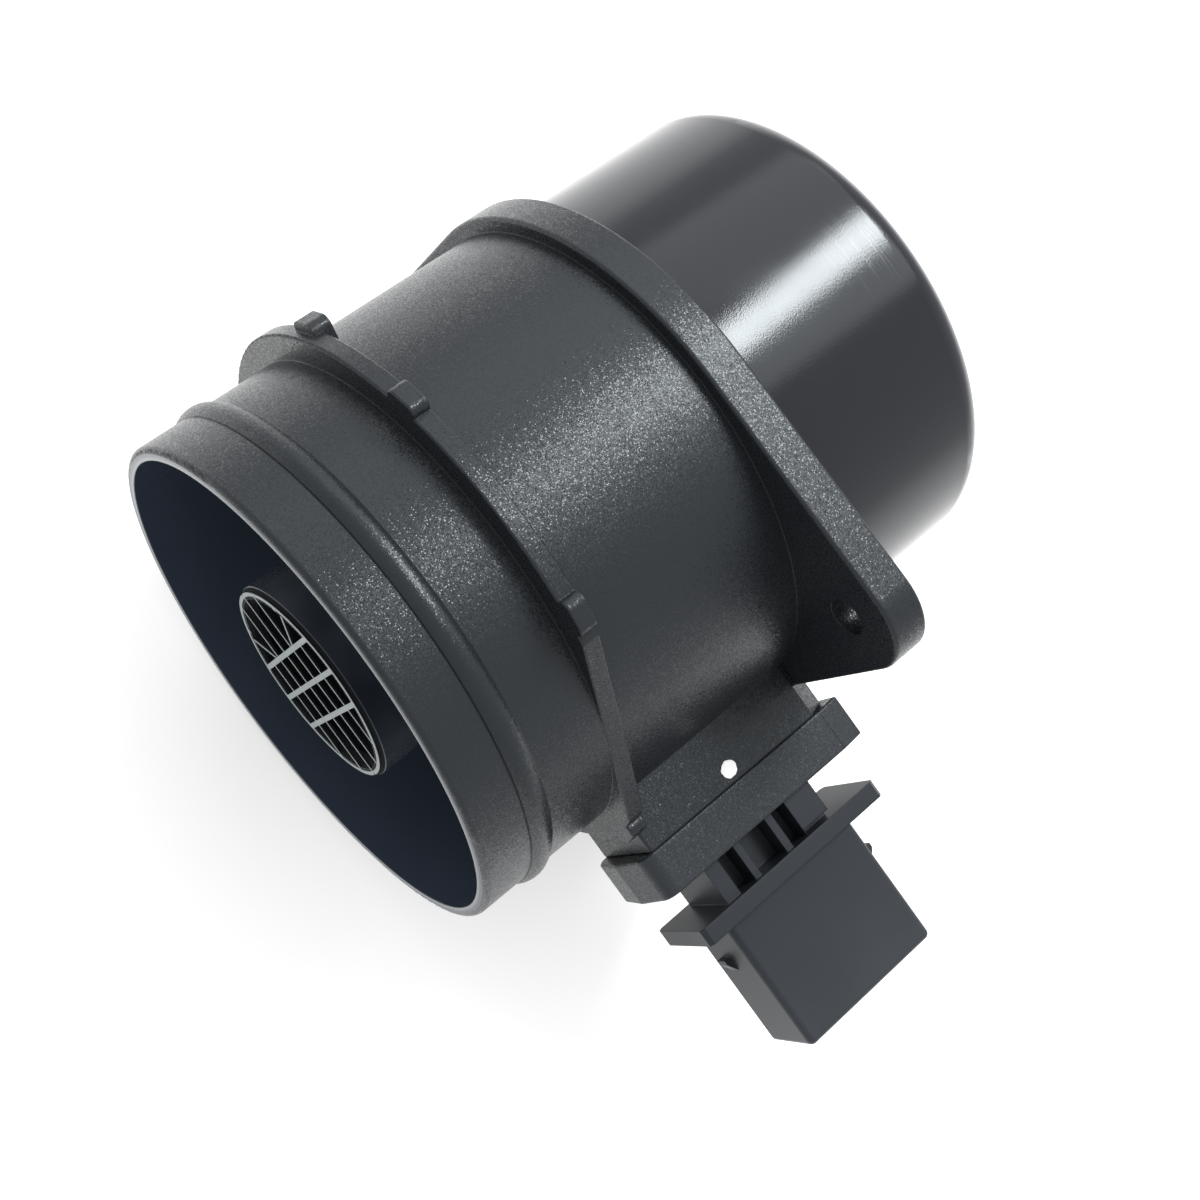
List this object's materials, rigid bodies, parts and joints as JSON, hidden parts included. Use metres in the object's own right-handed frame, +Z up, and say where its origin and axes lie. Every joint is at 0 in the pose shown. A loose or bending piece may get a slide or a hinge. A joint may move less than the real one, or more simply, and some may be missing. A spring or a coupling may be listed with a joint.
{
  "type": "mass airflow sensor",
  "caption": "Air tube with a clamp spigot, a fixing flange with ears, an inner measuring tube behind a pale grid, and a plug-in sensor module with a connector shroud.",
  "frame": {"origin": "tube axis at the fixing flange's seat face", "axes": "+X along the tube from the outlet to the inlet, -Y along the plug-in module towards its connector, +Z up"},
  "size_m": [0.1059, 0.1365, 0.093],
  "materials": {
    "housing": "fine spark-eroded texture, glossy on the inlet cylinder",
    "inner_tube": "satin",
    "grid": "etched, matt",
    "module": "textured flange, satin connector",
    "cover": "satin",
    "seal": "soft matt",
    "carrier": "rolled",
    "board": "fired ceramic",
    "component": "moulded epoxy",
    "holder": "stamped",
    "chip": "polished silicon",
    "terminal": "tin-plated",
    "bead": "glass bead",
    "screw": "zinc-plated"
  },
  "bodies": {
    "root": {"tube_housing": "housing", "measuring_tube": "inner_tube", "outlet_grid": "grid", "inlet_grid": "inner_tube", "sensor_body": "module", "seal_ring": "seal", "electronics_cover": "cover", "channel_cover": "cover", "carrier_plate": "carrier", "circuit_board": "board", "signal_chip": "component", "capacitors": "component", "chip_holder": "holder", "sensor_chip": "chip", "thermistor": "bead", "thermistor_legs": "terminal", "flange_screws": "screw", "terminal_1": "terminal", "terminal_2": "terminal", "terminal_3": "terminal", "terminal_4": "terminal", "terminal_5": "terminal"}
  },
  "joints": []
}
